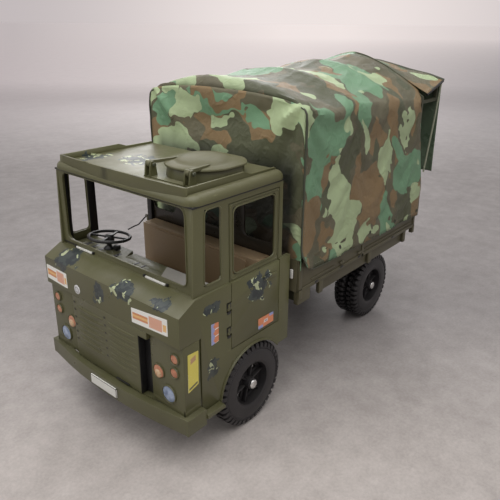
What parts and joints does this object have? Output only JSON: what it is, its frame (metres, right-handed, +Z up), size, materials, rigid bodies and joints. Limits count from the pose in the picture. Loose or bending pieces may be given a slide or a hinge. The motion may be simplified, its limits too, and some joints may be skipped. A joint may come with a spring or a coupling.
{
  "type": "toy military cargo truck",
  "caption": "Large moulded plastic toy of a cab-over military cargo truck with open windows, a roof hatch, a hinged door and a camouflage canvas over the load bed.",
  "frame": {"origin": "centre of the footprint of the bounding box, on the floor", "axes": "+X is forward, +Y is the truck's left side, +Z is up"},
  "size_m": [0.5736, 0.2648, 0.42],
  "materials": {
    "green_plastic": "satin moulded plastic",
    "dark_green_plastic": "satin moulded plastic",
    "black_plastic": "semi-matt moulded plastic",
    "brown_plastic": "satin moulded plastic",
    "white_plastic": "matt",
    "lamp_white": "glossy",
    "lamp_orange": "glossy",
    "bright_metal": "plated steel",
    "canvas": "coated cloth printed in a leaf camouflage"
  },
  "bodies": {
    "truck": {"cab_shell": "green_plastic", "rear_wall": "green_plastic", "roof": "green_plastic", "cab_floor": "dark_green_plastic", "dashboard": "green_plastic", "bench_seat": "brown_plastic", "steering_column": "black_plastic", "grille_panel": "green_plastic", "lamp_panel_left": "green_plastic", "lamp_panel_right": "green_plastic", "slot_panel": "black_plastic", "headlamps": "lamp_white", "marker_lamps": "lamp_orange", "bumper": "green_plastic", "number_plate": "white_plastic", "cab_steps": "green_plastic", "wiper_bars": "white_plastic", "door_hinge_pin": "bright_metal", "hatch_collar": "green_plastic", "hatch_ears": "green_plastic", "hatch_pin": "bright_metal", "chassis_rails": "dark_green_plastic", "cross_members": "dark_green_plastic", "front_axle": "bright_metal", "rear_axle": "bright_metal", "bed_floor": "green_plastic", "bed_bearers": "dark_green_plastic", "side_board_left": "green_plastic", "side_board_right": "green_plastic", "headboard": "green_plastic", "tailgate_pin": "bright_metal", "bed_skirts": "green_plastic", "board_latches": "bright_metal", "canopy_frame": "dark_green_plastic", "canopy_cover": "canvas", "rear_curtain": "canvas"},
    "front_wheel_left": {"front_wheel_left": "black_plastic"},
    "front_wheel_right": {"front_wheel_right": "black_plastic"},
    "rear_wheel_left": {"rear_wheel_left": "black_plastic"},
    "rear_wheel_right": {"rear_wheel_right": "black_plastic"},
    "steering_wheel": {"steering_wheel": "black_plastic"},
    "door_left": {"door_left": "green_plastic"},
    "hatch_lid": {"hatch_lid": "green_plastic"},
    "tailgate": {"tailgate": "green_plastic"}
  },
  "joints": [
    {"name": "front_wheel_left_spin", "type": "hinge", "parent": "truck", "child": "front_wheel_left", "pos_m": [0.16018, 0.11, 0.054], "axis": [0, 1, 0], "continuous": true},
    {"name": "rear_wheel_left_spin", "type": "hinge", "parent": "truck", "child": "rear_wheel_left", "pos_m": [-0.17683, 0.076, 0.054], "axis": [0, 1, 0], "continuous": true},
    {"name": "front_wheel_right_spin", "type": "hinge", "parent": "truck", "child": "front_wheel_right", "pos_m": [0.16018, -0.11, 0.054], "axis": [0, 1, 0], "continuous": true},
    {"name": "rear_wheel_right_spin", "type": "hinge", "parent": "truck", "child": "rear_wheel_right", "pos_m": [-0.17683, -0.076, 0.054], "axis": [0, 1, 0], "continuous": true},
    {"name": "steering_wheel_turn", "type": "hinge", "parent": "truck", "child": "steering_wheel", "pos_m": [0.21918, -0.062, 0.2155], "axis": [-0.1219, 0, 0.9925], "continuous": true},
    {"name": "door_left_swing", "type": "hinge", "parent": "truck", "child": "door_left", "pos_m": [0.20158, 0.1197, 0.16], "axis": [0, 0, -1], "range_deg": [0, 75]},
    {"name": "hatch_lid_swing", "type": "hinge", "parent": "truck", "child": "hatch_lid", "pos_m": [0.22318, 0.06, 0.323], "axis": [0, 1, 0], "range_deg": [0, 105]},
    {"name": "tailgate_drop", "type": "hinge", "parent": "truck", "child": "tailgate", "pos_m": [-0.24133, 0, 0.1515], "axis": [0, -1, 0], "range_deg": [0, 100]}
  ]
}
